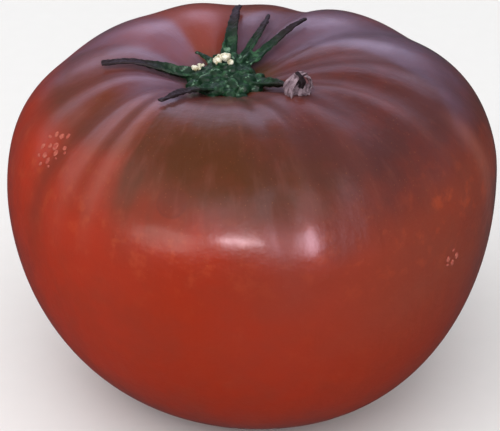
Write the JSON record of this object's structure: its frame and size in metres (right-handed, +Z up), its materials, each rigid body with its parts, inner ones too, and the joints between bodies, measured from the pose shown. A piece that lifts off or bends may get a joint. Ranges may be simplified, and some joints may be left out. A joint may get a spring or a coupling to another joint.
{
  "type": "tomato",
  "caption": "Whole ripe dark beefsteak tomato with ribbed shoulders, a sunken stem end, and its green star of sepals around a short snapped stem; it stands on a small flat spot.",
  "frame": {"origin": "on the plane that the fruit rests on, under the middle of the fruit's box", "axes": "+Z up towards the stem end, -Y towards the side seen in the picture, +X to its right"},
  "size_m": [0.098, 0.0944, 0.0779],
  "materials": {
    "tomato_skin": "waxy gloss, brick red below, olive brown and mauve on the shoulders",
    "calyx_green": "dark green, finely hairy, with drier purplish tips and a pale broken stem end"
  },
  "bodies": {
    "root": {"fruit": "tomato_skin", "calyx": "calyx_green"}
  },
  "joints": []
}
